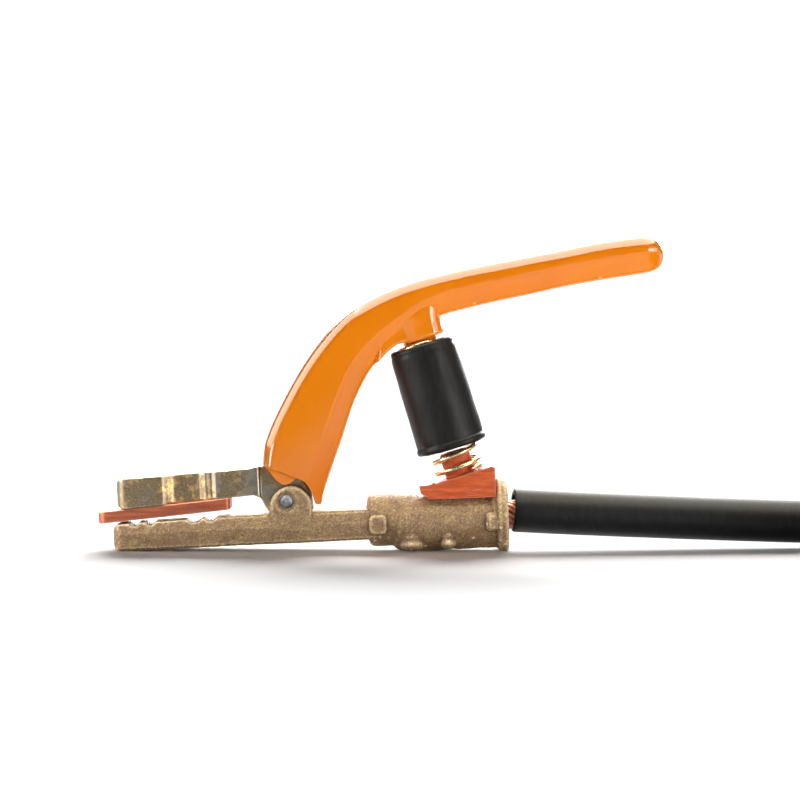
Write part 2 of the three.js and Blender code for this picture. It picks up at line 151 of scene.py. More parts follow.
def slab_above(z, x0, x1):
    """What lies above a level, to cut a flat on a round piece."""
    return beam("slab", [(-20, z), (20, z), (20, 10), (-20, 10)], x0, x1)


def along(start, end):
    """The matrix that stands +Z on the line from start to end."""
    line = Vector(end) - Vector(start)
    return Matrix.Translation(start) @ line.to_track_quat("Z", "Y").to_matrix().to_4x4()


def lathe(name, profile, stand, sides=48, closed=False):
    """Points of radius and height, turned about +Z, which stand then places."""
    turns = [2 * math.pi * k / sides for k in range(sides)]
    rings = [[stand @ Vector((r * math.cos(a), r * math.sin(a), h)) for a in turns] for r, h in profile]
    return rings_mesh(name, rings, closed=closed)


def rod(name, start, end, radius, sides=48, chamfer=0.0):
    """A round bar from start to end."""
    length = (Vector(end) - Vector(start)).length
    profile = [(radius, 0), (radius, length)]
    if chamfer:
        profile = [(radius - chamfer, 0), (radius, chamfer), (radius, length - chamfer),
                   (radius - chamfer, length)]
    return lathe(name, profile, along(start, end), sides)


def smooth_line(points, per):
    """A Catmull-Rom curve through points of any dimension."""
    vectors = [Vector(p) for p in points]
    padded = [2 * vectors[0] - vectors[1], *vectors, 2 * vectors[-1] - vectors[-2]]
    line = []
    for p0, p1, p2, p3 in zip(padded, padded[1:], padded[2:], padded[3:]):
        for k in range(per):
            t = k / per
            line.append(0.5 * (2 * p1 + (p2 - p0) * t + (2 * p0 - 5 * p1 + 4 * p2 - p3) * t**2
                               + (3 * p1 - p0 - 3 * p2 + p3) * t**3))
    return [*line, vectors[-1]]


def arc(x, y, radius, start, end, steps=8):
    angles = [math.radians(start + (end - start) * k / steps) for k in range(steps + 1)]
    return [(x + radius * math.cos(a), y + radius * math.sin(a)) for a in angles]


def rounded_box(x0, x1, y0, y1, radius, steps=6):
    return [*arc(x0 + radius, y0 + radius, radius, 180, 270, steps),
            *arc(x1 - radius, y0 + radius, radius, 270, 360, steps),
            *arc(x1 - radius, y1 - radius, radius, 0, 90, steps),
            *arc(x0 + radius, y1 - radius, radius, 90, 180, steps)]


def applied(obj):
    """Puts the result of an object's modifiers in its mesh."""
    bpy.context.view_layer.update()
    evaluated = obj.evaluated_get(bpy.context.evaluated_depsgraph_get())
    mesh = bpy.data.meshes.new_from_object(evaluated)
    obj.modifiers.clear()
    obj.data = mesh
    return obj


def combined(base, operation, *tools):
    for tool in tools:
        modifier = base.modifiers.new("combine", "BOOLEAN")
        modifier.operation = operation
        modifier.solver = "EXACT"
        modifier.object = tool
    applied(base)
    for tool in tools:
        bpy.data.objects.remove(tool)
    return base


def joined(base, *others):
    return combined(base, "UNION", *others)


def cut(base, *others):
    return combined(base, "DIFFERENCE", *others)


def common(base, *others):
    return combined(base, "INTERSECT", *others)


def softened(obj, voxel, passes):
    """Rounds every edge a little, as a casting, a moulding or a worn stamping has it."""
    remesh = obj.modifiers.new("remesh", "REMESH")
    remesh.mode = "VOXEL"
    remesh.voxel_size = voxel
    remesh.use_smooth_shade = True
    smooth = obj.modifiers.new("smooth", "SMOOTH")
    smooth.iterations = passes
    smooth.factor = 0.5
    return applied(obj)


def roughened(obj, depth, size, seed):
    """Moves the surface in and out by noise, with bumps about size apart."""
    offset = Vector((seed, seed * 2, seed * 3))
    moves = []
    for v in obj.data.vertices:
        place = v.co / size + offset
        moves.append(v.normal * depth * (noise.noise(place) + 0.6 * noise.noise(place * 2.3)))
    for v, move in zip(obj.data.vertices, moves):
        v.co += move
    return obj


def bevelled(obj, width, segments=3, angle=35):
    bevel = obj.modifiers.new("bevel", "BEVEL")
    bevel.width = width
    bevel.segments = segments
    bevel.limit_method = "ANGLE"
    bevel.angle_limit = math.radians(angle)
    bevel.use_clamp_overlap = True
    return applied(obj)


def shaded(obj, angle=40):
    """Smooth shading, with the edges sharper than angle kept."""
    bm = bmesh.new()
    bm.from_mesh(obj.data)
    for face in bm.faces:
        face.smooth = True
    for edge in bm.edges:
        edge.smooth = edge.calc_face_angle(math.pi) < math.radians(angle)
    bm.to_mesh(obj.data)
    bm.free()
    return obj


def shown(obj, body, slot, *nodes, place=HOLDER):
    """Puts a finished piece in the row's frame, on its body and in its material, for its CAD nodes."""
    obj.data.transform(place)
    obj.data.materials.clear()
    obj.data.materials.append(LOOKS[slot])
    if body:
        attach(obj, body)
    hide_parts(*nodes)
    return obj


# ---- materials


RANGE = ("From Min", "From Max", "To Min", "To Max")


class Look:
    """A material's nodes, made one after another. Sizes are in millimetres."""

    def __init__(self, name, **settings):
        self.material = bpy.data.materials.new(name)
        self.material.use_nodes = True
        self.tree = self.material.node_tree
        self.shader = self.tree.nodes["Principled BSDF"]
        for key, value in settings.items():
            socket = key.replace("_", " ").title().replace("Ior", "IOR")
            self.shader.inputs[socket].default_value = value
        self.coords = self.tree.nodes.new("ShaderNodeTexCoord").outputs["Object"]
        self.base = None
        self.height = None

    def node(self, kind, **values):
        made = self.tree.nodes.new("ShaderNode" + kind)
        for key, value in values.items():
            setattr(made, key, value)
        return made

    def put(self, socket, value):
        if isinstance(value, bpy.types.NodeSocket):
            self.tree.links.new(value, socket)
        else:
            socket.default_value = value

    def stretch(self, x=1.0, y=1.0, z=1.0):
        """Coordinates in which a texture's features are x, y and z times as long."""
        mapping = self.node("Mapping")
        self.put(mapping.inputs["Vector"], self.coords)
        mapping.inputs["Scale"].default_value = (1 / x, 1 / y, 1 / z)
        return mapping.outputs["Vector"]

    def noise(self, size, detail=4.0, rough=0.55, coords=None):
        made = self.node("TexNoise")
        self.put(made.inputs["Vector"], coords or self.coords)
        made.inputs["Scale"].default_value = 1 / (size * MM)
        made.inputs["Detail"].default_value = detail
        made.inputs["Roughness"].default_value = rough
        return made.outputs["Fac"]

    def cells(self, size):
        made = self.node("TexVoronoi")
        self.put(made.inputs["Vector"], self.coords)
        made.inputs["Scale"].default_value = 1 / (size * MM)
        return made.outputs["Distance"]

    def bands(self, size, direction, distortion=0.0):
        """Stripes that are size apart."""
        made = self.node("TexWave", bands_direction=direction)
        self.put(made.inputs["Vector"], self.coords)
        made.inputs["Scale"].default_value = 0.314 / (size * MM)
        made.inputs["Distortion"].default_value = distortion
        return made.outputs["Fac"]

    def edges(self):
        """The mesh's own curvature: 0.5 is flat, above it are convex edges and below it hollows."""
        return self.node("NewGeometry").outputs["Pointiness"]

    def between(self, value, low, high, out_low=0.0, out_high=1.0):
        made = self.node("MapRange")
        self.put(made.inputs["Value"], value)
        for key, number in zip(RANGE, (low, high, out_low, out_high)):
            made.inputs[key].default_value = number
        return made.outputs["Result"]

    def times(self, a, b):
        made = self.node("Math", operation="MULTIPLY")
        self.put(made.inputs[0], a)
        self.put(made.inputs[1], b)
        return made.outputs[0]

    def mix(self, factor, a, b):
        made = self.node("Mix", data_type="RGBA")
        self.put(made.inputs["Factor"], factor)
        for socket, value in ((made.inputs[6], a), (made.inputs[7], b)):
            self.put(socket, value if isinstance(value, bpy.types.NodeSocket) else (*value, 1.0))
        return made.outputs[2]

    def color(self, texture, low, high, first, second, most=1.0):
        """The base color, from the first to the second as a texture goes from low to high."""
        self.base = self.mix(self.between(texture, low, high, 0, most), first, second)
        self.put(self.shader.inputs["Base Color"], self.base)

    def over(self, texture, low, high, color, most=1.0):
        """Lays a color over the base color, by at most so much, as a texture goes from low to high."""
        self.color(texture, low, high, self.base, color, most)

    def rough(self, texture, low, high):
        """A roughness that follows a texture from low to high."""
        self.put(self.shader.inputs["Roughness"], self.between(texture, 0.3, 0.7, low, high))

    def bump(self, height, depth, strength):
        """Adds relief of depth millimetres on top of what is there."""
        made = self.node("Bump")
        made.inputs["Strength"].default_value = strength
        made.inputs["Distance"].default_value = depth * MM
        self.put(made.inputs["Height"], height)
        if self.height:
            self.put(made.inputs["Normal"], self.height)
        self.height = made.outputs["Normal"]
        self.put(self.shader.inputs["Normal"], self.height)


def cast_brass():
    look = Look("cast_brass", metallic=0.25, specular_ior_level=0.3)
    grain = look.noise(0.55, detail=5, rough=0.7)
    coarse = look.noise(1.5, detail=4, rough=0.6)
    patches = look.noise(9, detail=3)
    mottle = look.noise(2.6, detail=6, rough=0.7)
    sand = look.cells(0.6)
    look.color(grain, 0.34, 0.66, (0.12, 0.074, 0.032), (0.70, 0.48, 0.24))
    look.over(coarse, 0.35, 0.65, (0.29, 0.18, 0.095), 0.5)
    look.over(patches, 0.4, 0.62, (0.27, 0.155, 0.095), 0.6)
    look.over(mottle, 0.52, 0.62, (0.15, 0.085, 0.045), 0.45)
    look.over(mottle, 0.44, 0.34, (0.82, 0.60, 0.31), 0.4)
    # pale edges: partly wear, partly a painted highlight along the rims and ridges
    look.over(look.edges(), 0.505, 0.545, (0.92, 0.74, 0.47))
    # painted shade: darker in the hollows
    look.over(look.edges(), 0.495, 0.45, (0.10, 0.058, 0.03))
    look.rough(grain, 0.66, 0.40)
    look.bump(grain, 0.4, 0.9)
    look.bump(sand, 0.12, 0.6)
    return look.material


def jaw_steel():
    look = Look("jaw_steel", metallic=0.85)
    stain = look.noise(5.5, detail=6, rough=0.65)
    fine = look.noise(0.7, detail=4, rough=0.7)
    blooms = look.noise(11, detail=2)
    look.color(fine, 0.3, 0.7, (0.13, 0.094, 0.055), (0.37, 0.275, 0.165))
    look.over(stain, 0.50, 0.57, (0.62, 0.42, 0.17), 0.85)
    look.over(blooms, 0.50, 0.62, (0.19, 0.20, 0.20), 0.7)
    # pale edges: partly wear, partly a painted highlight on the rims
    look.over(look.edges(), 0.51, 0.57, (0.80, 0.71, 0.52))
    look.rough(fine, 0.28, 0.46)
    look.bump(fine, 0.10, 0.5)
    return look.material


def contact_copper():
    look = Look("contact_copper", metallic=0.55)
    grain = look.noise(0.6, detail=5, rough=0.7)
    drawn = look.noise(1.1, detail=4, coords=look.stretch(x=14))
    look.color(drawn, 0.35, 0.65, (0.33, 0.080, 0.038), (0.56, 0.155, 0.075))
    look.over(grain, 0.55, 0.75, (0.52, 0.20, 0.13), 0.6)
    # pale edges: partly wear, partly a painted reflection of the bevels
    look.over(look.edges(), 0.51, 0.60, (0.86, 0.50, 0.38))
    look.rough(grain, 0.38, 0.56)
    look.bump(drawn, 0.06, 0.5)
    look.bump(grain, 0.05, 0.5)
    return look.material


def orange_plastic():
    look = Look("orange_plastic", coat_weight=1.0, coat_roughness=0.12, specular_ior_level=0.04)
    flow = look.noise(38, detail=2)
    peel = look.noise(1.7, detail=2)
    scuff = look.noise(0.5, detail=5, rough=0.75, coords=look.stretch(x=5, z=2))
    look.color(flow, 0.3, 0.7, (0.86, 0.205, 0.0), (0.93, 0.255, 0.001))
    look.over(scuff, 0.66, 0.80, (0.93, 0.42, 0.12), 0.45)
    # pale edges: partly wear, partly a painted highlight on the rounded lips and rims
    look.over(look.edges(), 0.515, 0.60, (0.97, 0.50, 0.14))
    look.rough(peel, 0.24, 0.34)
    look.bump(peel, 0.05, 0.35)
    look.bump(scuff, 0.02, 0.25)
    return look.material


def spring_zinc():
    look = Look("spring_zinc", metallic=0.95)
    tint = look.noise(4, detail=3)
    drawn = look.noise(0.5, detail=3)
    look.color(tint, 0.38, 0.62, (0.72, 0.66, 0.36), (0.80, 0.60, 0.40))
    look.over(drawn, 0.55, 0.75, (0.45, 0.30, 0.17), 0.5)
    look.rough(drawn, 0.18, 0.34)
    look.bump(drawn, 0.03, 0.4)
    return look.material


def black_rubber(name, base, dust, gloss):
    look = Look(name, specular_ior_level=0.2)
    streak = look.noise(1.6, detail=4, coords=look.stretch(x=1.5, z=7))
    grain = look.noise(0.45, detail=3)
    specks = look.cells(2.6)
    look.color(streak, 0.42, 0.72, base, dust, 0.6)
    look.over(specks, 0.075, 0.035, [2.2 * c for c in dust])
    look.rough(grain, gloss, gloss + 0.14)
    look.bump(grain, 0.04, 0.4)
    look.bump(streak, 0.08, 0.3)
    return look.material


def red_fibre():
    look = Look("red_fibre", specular_ior_level=0.3)
    layers = look.noise(1.4, detail=5, rough=0.7, coords=look.stretch(x=9, y=9))
    scratch = look.noise(0.32, detail=2, coords=look.stretch(x=26))
    grain = look.noise(0.5, detail=4)
    look.color(layers, 0.35, 0.65, (0.55, 0.080, 0.015), (0.80, 0.145, 0.036))
    look.over(scratch, 0.63, 0.74, (0.86, 0.42, 0.28), 0.8)
    look.over(look.edges(), 0.51, 0.62, (0.86, 0.47, 0.36))
    look.rough(grain, 0.45, 0.62)
    look.bump(scratch, 0.08, 0.5)
    look.bump(grain, 0.04, 0.5)
    return look.material


def bare_strands():
    look = Look("bare_strands", metallic=0.9)
    grain = look.noise(0.4, detail=4)
    patch = look.noise(2.4, detail=3)
    look.color(patch, 0.35, 0.65, (0.33, 0.085, 0.06), (0.72, 0.33, 0.25))
    look.over(grain, 0.5, 0.75, (0.86, 0.56, 0.46), 0.6)
    look.rough(grain, 0.25, 0.45)
    look.bump(grain, 0.05, 0.5)
    return look.material


def bright_steel():
    look = Look("bright_steel", metallic=0.95)
    grain = look.noise(0.5, detail=5, rough=0.7)
    patch = look.noise(2.2, detail=3)
    look.color(patch, 0.35, 0.65, (0.13, 0.135, 0.15), (0.34, 0.34, 0.36))
    look.over(grain, 0.58, 0.75, (0.30, 0.25, 0.17), 0.6)
    look.rough(grain, 0.52, 0.75)
    look.bump(grain, 0.10, 0.6)
    return look.material


def turned_brass():
    look = Look("turned_brass", metallic=0.95)
    rings = look.bands(0.35, "X", distortion=0.3)
    patch = look.noise(3, detail=4)
    look.color(patch, 0.35, 0.65, (0.62, 0.43, 0.17), (0.78, 0.59, 0.28))
    look.over(look.edges(), 0.50, 0.58, (0.93, 0.78, 0.48))
    look.rough(patch, 0.20, 0.36)
    look.bump(rings, 0.02, 0.4)
    return look.material


def tie_webbing():
    look = Look("tie_webbing", sheen_weight=0.4)
    warp = look.bands(0.9, "X")
    weft = look.bands(0.9, "Z")
    weave = look.times(warp, weft)
    lint = look.noise(0.35, detail=4)
    look.color(weave, 0.1, 0.8, (0.012, 0.013, 0.016), (0.055, 0.058, 0.068))
    look.over(lint, 0.62, 0.80, (0.15, 0.15, 0.16), 0.6)
    look.rough(lint, 0.75, 0.95)
    look.bump(weave, 0.25, 0.8)
    look.bump(lint, 0.08, 0.5)
    return look.material


LOOKS = {
    "cast_brass": cast_brass(),
    "jaw_steel": jaw_steel(),
    "contact_copper": contact_copper(),
    "orange_plastic": orange_plastic(),
    "spring_zinc": spring_zinc(),
    "sleeve_rubber": black_rubber("sleeve_rubber", (0.007, 0.0062, 0.006), (0.020, 0.018, 0.017), 0.36),
    "cable_rubber": black_rubber("cable_rubber", (0.006, 0.0058, 0.007), (0.014, 0.014, 0.0155), 0.42),
    "boot_rubber": black_rubber("boot_rubber", (0.015, 0.015, 0.016), (0.034, 0.034, 0.036), 0.46),
    "red_fibre": red_fibre(),
    "strand_copper": bare_strands(),
    "bright_steel": bright_steel(),
    "turned_brass": turned_brass(),
    "tie_webbing": tie_webbing(),
}

# ---- the cable

CABLE = 18.2  # across
CABLE_BORE = 6.35  # the radius of the hole that its strands come out of
STRAP = 1.2  # how thick the straps on the hank are
LEAD = [(55.3, 0, 16.7), (75, 1.7, 15.6), (95, 3.6, 14.6), (115, 5.7, 13.7), (135, 7.8, 12.8),
        (155, 9.7, 12), (175, 11.4, 11.3), (195, 12.9, 10.8), (213, 13.8, 10.5), (235, 14.5, 10.35)]
FOLD = 3 * CABLE  # the radius of a fold, at the middle of the cable
LAYER = 18.5  # from one turn to the next one up
TURNS = 3  # whole turns, before the last one that ends at the plug
hank_low, hank_high = extent("cable_hank", ROW)
FAR_RUN = LEAD[-1][1] + 0.1
NEAR_RUN = FAR_RUN - 2 * FOLD
FOLD_LEFT = 259.0
FOLD_RIGHT = hank_high.x - FOLD - CABLE / 2
BOTTOM = STRAP + CABLE / 2  # the lowest turn lies on its straps


def ease(t):
    return t * t * (3 - 2 * t)


def half_turn(x, z, rise, start, steps=26):
    """A fold of the hank about x, which climbs by rise, as points without the first."""
    points = []
    for k in range(1, steps + 1):
        t = k / steps
        a = math.radians(start - 180 * t)
        points.append((x + FOLD * math.cos(a), FAR_RUN - FOLD + FOLD * math.sin(a), z + rise * ease(t)))
    return points


def straight(x0, x1, y, z0, z1, steps=14):
    return [(x0 + (x1 - x0) * k / steps, y, z0 + (z1 - z0) * ease(k / steps)) for k in range(1, steps + 1)]


def cable_route():
    """The cable's centreline from the barrel through the turns of the hank to the plug."""
    plug_back = extent("plug_boot", ROW)[1].x
    plug_axis = sum(corner.z for corner in extent("plug_conductor", ROW)) / 2
    points = [tuple(p) for p in smooth_line([*LEAD, (FOLD_LEFT, FAR_RUN, BOTTOM)], per=5)]
    for turn in range(TURNS):
        z = BOTTOM + turn * LAYER
        points += straight(FOLD_LEFT, FOLD_RIGHT, FAR_RUN, z, z)
        points += half_turn(FOLD_RIGHT, z, 0, 90)
        points += straight(FOLD_RIGHT, FOLD_LEFT, NEAR_RUN, z, z)
        points += half_turn(FOLD_LEFT, z, LAYER, -90)
    z = BOTTOM + TURNS * LAYER
    points += straight(FOLD_LEFT, FOLD_RIGHT, FAR_RUN, z, z)
    points += half_turn(FOLD_RIGHT, z, 0, 90)
    points += straight(FOLD_RIGHT, plug_back + 0.3, NEAR_RUN, z, plug_axis, 10)
    return points


def swept(points, stations, sides=32):
    """Rings round a line. A station is a point's number, a radius and a shift along the line."""
    vectors = [Vector(p) for p in points]
    turns = [2 * math.pi * k / sides for k in range(sides)]
    rings = []
    for index, radius, shift in stations:
        a = vectors[max(index - 1, 0)]
        b = vectors[min(index + 1, len(vectors) - 1)]
        line = (b - a).normalized()
        side = line.cross(UP).normalized()
        up = side.cross(line)
        middle = vectors[index] + line * shift
        rings.append([middle + radius * (side * math.cos(t) + up * math.sin(t)) for t in turns])
    return rings


def cable():
    """The rubber insulation, cut square at the holder, with a rounded rim and the end of its bore."""
    points = cable_route()
    full = CABLE / 2
    rim = [(0, CABLE_BORE, 7), (0, CABLE_BORE, 0.5), (0, CABLE_BORE + 0.25, 0.1), (0, 7.6, 0),
           (0, full - 0.9, 0), (0, full - 0.3, 0.25), (0, full, 0.9)]
    stations = rim + [(i, full, 0) for i in range(1, len(points))]
    obj = rings_mesh("cable", swept(points, stations))
    shaded(obj)
    shown(obj, FIXED, "cable_rubber", "cable_lead", "cable_hank", "cable_tail", place=ROW)
    return obj, [Vector(p) * MM for p in points]


def merged(name, objects):
    """One object out of several, without joining their skins."""
    bm = bmesh.new()
    for obj in objects:
        bm.from_mesh(obj.data)
        bpy.data.objects.remove(obj)
    mesh = bpy.data.meshes.new(name)
    bm.to_mesh(mesh)
    bm.free()
    return linked(name, mesh)


def conductor():
    """Bundles of fine wire that wind round each other, in two layers round a core."""
    low, high = extent("cable_conductor")
    start, end = (Vector((x, 0, (low.z + high.z) / 2)) for x in (high.x - 12, high.x + 1.2))
    length = (end - start).length
    stand = along(start, end)
    radius, wire, count, pitch = 6.1, 0.95, 16, 60
    steps = 12
    skins = []
    for layer_radius, number in ((radius - wire, count), (radius - 2.8 * wire, count // 2 + 1), (0, 1)):
        for k in range(number):
            route = []
            for step in range(steps + 1):
                h = length * step / steps
                a = 2 * math.pi * (k / number + h / pitch)
                route.append(stand @ Vector((layer_radius * math.cos(a), layer_radius * math.sin(a), h)))
            thick = wire if number > 1 else radius - 3.6 * wire
            skins.append(rings_mesh("strand", swept(route, [(i, thick, 0) for i in range(steps + 1)], 8)))
    obj = merged("cable_conductor_strands", skins)
    return shown(shaded(obj), FIXED, "strand_copper", "cable_conductor")


# ---- the straps on the hank


def strap_ring(reach, low, high, grow):
    """The outline of a strap round a stack of cables, in Y and Z, with round ends."""
    radius = reach - STRAP + grow
    top = high - STRAP - CABLE / 2
    bottom = low + STRAP + CABLE / 2
    return [*arc(0, top, radius, 0, 180, 12), *arc(0, bottom, radius, 180, 360, 12)]


def tie(node):
    """A woven strap, drawn tight, with its end stuck down over itself on the outside."""
    low, high = extent(node, ROW)
    middle = (low + high) / 2
    reach = (high.y - low.y) / 2
    outside = 1 if middle.y > FAR_RUN - FOLD else -1
    half = (high.x - low.x) / 2
    edges = [(-half, 0.35), (-half + 0.35, 0.05), (half - 0.35, 0.05), (half, 0.35)]
    levels = [(x, STRAP - inset) for x, inset in edges]
    levels += [(x, 0.05 + 0.3 * inset) for x, inset in reversed(edges)]
    skin = []
    for x, grow in levels:
        ring = strap_ring(reach, low.z, high.z, grow)
        skin.append([(middle.x + x, middle.y + y, z) for y, z in ring])
    strap = rings_mesh(node + "_strap", skin, closed=True)
    # the free end lies over the strap from its top down its outer side
    face = middle.y + outside * (reach + 0.1)
    width = half - 0.4
    outline = rounded_box(middle.x - width, middle.x + width, low.z + 12, high.z - 14, 2.4)
    levels = [face + outside * out for out in (-0.5, 0.75)]
    flap = rings_mesh("flap", [[(x, y, z) for x, z in outline] for y in levels])
    bevelled(flap, 0.25, 2)
    return shown(shaded(merged(node + "_strap", [strap, flap])), FIXED, "tie_webbing", node, place=ROW)


# ---- the plug


def plug():
    """A rubber boot with grip rings, and the brass pin with its bayonet lug."""
    low, high = extent("plug_boot", ROW)
    pin_low, pin_high = extent("plug_pin", ROW)
    y = (low.y + high.y) / 2
    z = (low.z + high.z) / 2
    radius = (high.z - low.z) / 2
    length = high.x - low.x
    stand = along((high.x, y, z), (low.x, y, z))
    bore = 6.4
    # from the cable end to the nose, as radius and place along the boot
    profile = [(bore, 6), (bore, 0.6), (bore + 0.5, 0), (11.6, 0), (12.3, 0.7)]
    for ring in range(5):
        at = 3.4 + ring * 3.6
        crest = 12.4 + 0.15 * ring
        valley = 11.2 + 0.2 * ring
        profile += [(crest, at), (valley, at + 0.7), (valley, at + 1.7), (crest + 0.1, at + 2.4)]
    profile += [(13.4, 22), (radius - 0.8, 33), (radius, 36)]
    for ring in range(6):
        at = 40 + ring * 5.6
        valley = radius - 1.1
        profile += [(radius, at), (valley, at + 0.9), (valley, at + 2.3), (radius, at + 3.2)]
    mouth = 9.9
    profile += [(radius, length - 6), (radius - 0.2, length - 1.4), (radius - 1.5, length),
                (mouth + 0.7, length), (mouth, length - 0.7), (mouth, length - 9), (bore, length - 9)]
    boot = lathe("plug_boot_rubber", profile, stand, 64, closed=True)
    shown(shaded(boot, 32), FIXED, "boot_rubber", "plug_boot", place=ROW)

    end = high.x - pin_low.x
    pin = 6.5
    groove = pin - 0.7
    collar = 9.5
    shaft_profile = [(0, length - 8.6), (collar, length - 8.6), (collar, length - 1.7),
                     (collar - 0.5, length - 1.2), (pin, length + 0.4), (pin, length + 3.6),
                     (groove, length + 4.2), (groove, length + 5.4), (pin, length + 6),
                     (pin, end - 2.6), (pin - 0.5, end - 0.9), (pin - 1.8, end), (0, end)]
    shaft = lathe("plug_pin_brass", shaft_profile, stand, 64)
    lug = block("lug", rounded_box(low.x - 26, low.x - 18, y - 2, y + 2, 1.9), z, pin_high.z)
    joined(shaft, bevelled(lug, 0.5, 3))
    shown(shaded(shaft, 30), FIXED, "turned_brass", "plug_pin", place=ROW)
    carried = {"plug_clamp_screw_front": "bright_steel", "plug_clamp_screw_rear": "bright_steel",
               "plug_conductor": "strand_copper"}
    for name, slot in carried.items():
        materials = frame["nodes"][name].data.materials
        materials.clear()
        materials.append(LOOKS[slot])
    return [boot, shaft, *(frame["nodes"][name] for name in carried)]


cable_obj, route = cable()
straps = [tie(f"hank_tie_{run}_{end}") for run in ("far", "near") for end in ("left", "right")]
on_cable = [*straps, *plug()]

# ---- the brass casting

BAR_HALF = 10.5  # half the width of the bar and over the ears
SLOT_HALF = 5.8  # half the gap between the ears
BARREL_Z = -12.0
NECK_Z = -10.1
FLANGE_Z = -10.3
BORE_Z = -10.6


def jaw_bar():
    """The long bar: what a side view, a section with a parting line, and a plan have in common."""
    front = extent("jaw_body")[0].x
    bottom = -17.5
    back = 38
    side = [(back, bottom), (back, -4.8), (1.7, -4.7), (-8, -4.9), (-19, -4.85), (-28, -5.35), (-50, -5.95),
            *arc(front + 2.8, -9.2, 2.8, 90, 180, 6), *arc(front + 2.8, bottom + 2.8, 2.8, 180, 270, 6)]
    half = [(8.6, -3), (8.6, -5.2), (9.5, -5.9), (BAR_HALF, -10.4), (BAR_HALF - 0.1, -11.0), (10.0, -16.4),
            (8.4, bottom), (8.4, bottom - 1)]
    section = [*half, *((-y, z) for y, z in reversed(half))]
    plan = [(back, 12), (back, -12), (front + 5, -12), *arc(front + 5, -5.5, 5.2, 270, 180, 8),
            *arc(front + 5, 5.5, 5.2, 180, 90, 8), (front + 5, 12)]
    bar = prism("jaw_body_casting", side, -14, 14)
    return common(bar, beam("section", section, front - 3, 45), block("plan", plan, -30, 10))


def top_of_bar(x):
    """How high the lower jaw's gripping face is, which falls a little towards its front."""
    return -5.35 + 0.03 * min(0, x + 28)


def ear(side):
    """A domed ear with a chamfered rim, round the end of the pin."""
    outline = [(-6.7, -13), (10.1, -13), *arc(1.7, -2.4, 8.5, 0, 180, 24)]
    made = prism("ear", outline, *sorted((side * SLOT_HALF, side * BAR_HALF)))
    bevelled(made, 1.0, 2, 60)
    recess = lathe("recess", [(2.7, -0.7), (3.4, -0.7), (4.4, 0), (5.2, 1), (2.7, 1)],
                   along((0, side * BAR_HALF, 0), (0, side * 20, 0)), 40, closed=True)
    return cut(made, recess)


def side_pad(x0, x1, z0, z1, reach, slope, corner):
    """A low pad that stands out of both sides of the casting, with sloping edges."""
    rings = []
    for y, inset in ((-reach, slope), (-reach + slope, 0), (reach - slope, 0), (reach, slope)):
        outline = rounded_box(x0 + inset, x1 - inset, z0 + inset, z1 - inset, corner, 4)
        rings.append([(x, y, z) for x, z in outline])
    return rings_mesh("pad", rings)


def ellipsoid(middle, half_sizes):
    """A ball stretched to its half sizes along X, Y and Z."""
    angles = [math.radians(10 * k) for k in range(1, 18)]
    profile = [(0, -1), *((math.sin(a), -math.cos(a)) for a in angles), (0, 1)]
    return lathe("ellipsoid", profile, Matrix.Translation(middle) @ Matrix.Diagonal((*half_sizes, 1)))


def screw_boss(x, half_length, bottom):
    """A bulge that swells out of the barrel's lower side, round a clamp screw."""
    middle = -17.0
    boss = ellipsoid((x, 0, middle), (half_length, 11.8, middle - bottom))
    return joined(boss, ellipsoid((x, 0, -20.0), (half_length - 1.2, 13.3, 3.6)))


def axial(name, z, profile):
    """A lathed piece about a line along X, as radius and X."""
    return lathe(name, profile, along((0, 0, z), (1, 0, z)), 64)


def cable_end():
    """The neck, the barrel with a flat on top for the spring's seat, and the flange."""
    back = extent("jaw_body")[1].x
    neck = axial("neck", NECK_Z, [(7.6, 32.7), (9.8, 33.3), (10.7, 34.5), (10.9, 36.2), (10.9, 43),
                                  (10.6, 47), (10.0, 52)])
    barrel = axial("barrel", BARREL_Z, [(10.0, 43.5), (11.3, 46), (11.8, 49), (11.8, back - 2)])
    cut(barrel, slab_above(-1.6, 53.5, 100))
    flange = axial("flange", FLANGE_Z, [(11.4, back - 6.2), (12.6, back - 4.8), (14.5, back - 4.3),
                                        (15.3, back - 3.4), (15.3, back - 0.8), (14.6, back)])
    return neck, barrel, flange


def jaw_holes():
    """The slot for the upper jaw's hub, the holes, and the grooves that grip the electrode."""
    holes = [rod("slot", (0, -SLOT_HALF, 0), (0, SLOT_HALF, 0), 9.5, 48),
             rod("pin_hole", (0, -20, 0), (0, 20, 0), 2.75, 32),
             rod("bore", (42, 0, BORE_Z), (100, 0, BORE_Z), 7.2, 40)]
    for x, radius in ((50, 4.1), (66, 3.1)):
        holes.append(rod("screw_hole", (x, 0, -10), (x, 0, -30), radius, 32))
    for x, radius, depth in ((-63.2, 2.2, 1.1), (-56.4, 2.4, 1.1), (-38.3, 4.2, 1.5), (-31.7, 3.2, 1.4)):
        z = top_of_bar(x) - depth + radius
        holes.append(rod("groove", (x, -20, z), (x, 20, z), radius, 32))
    return holes


def jaw_body():
    """The lower jaw's casting. Its bosses end a little below the foot of the clamp screws."""
    boss_foot = extent("cable_clamp_screw_front")[0].z - 0.6
    made = jaw_bar()
    joined(made, ear(1), ear(-1), *cable_end())
    joined(made, side_pad(33.4, 40.6, -15.2, -7.2, 12.2, 0.7, 2.0),
           side_pad(81.4, 90.3, -15.9, -8.2, 14.2, 1.4, 1.3))
    joined(made, screw_boss(50.6, 7.6, boss_foot), screw_boss(65.4, 5.6, boss_foot + 0.5))
    cut(made, *jaw_holes())
    softened(made, 0.45, 3)
    roughened(made, 0.10, 0.9, 3.0)
    roughened(made, 0.16, 7.0, 5.0)
    return shown(made, FIXED, "cast_brass", "jaw_body")


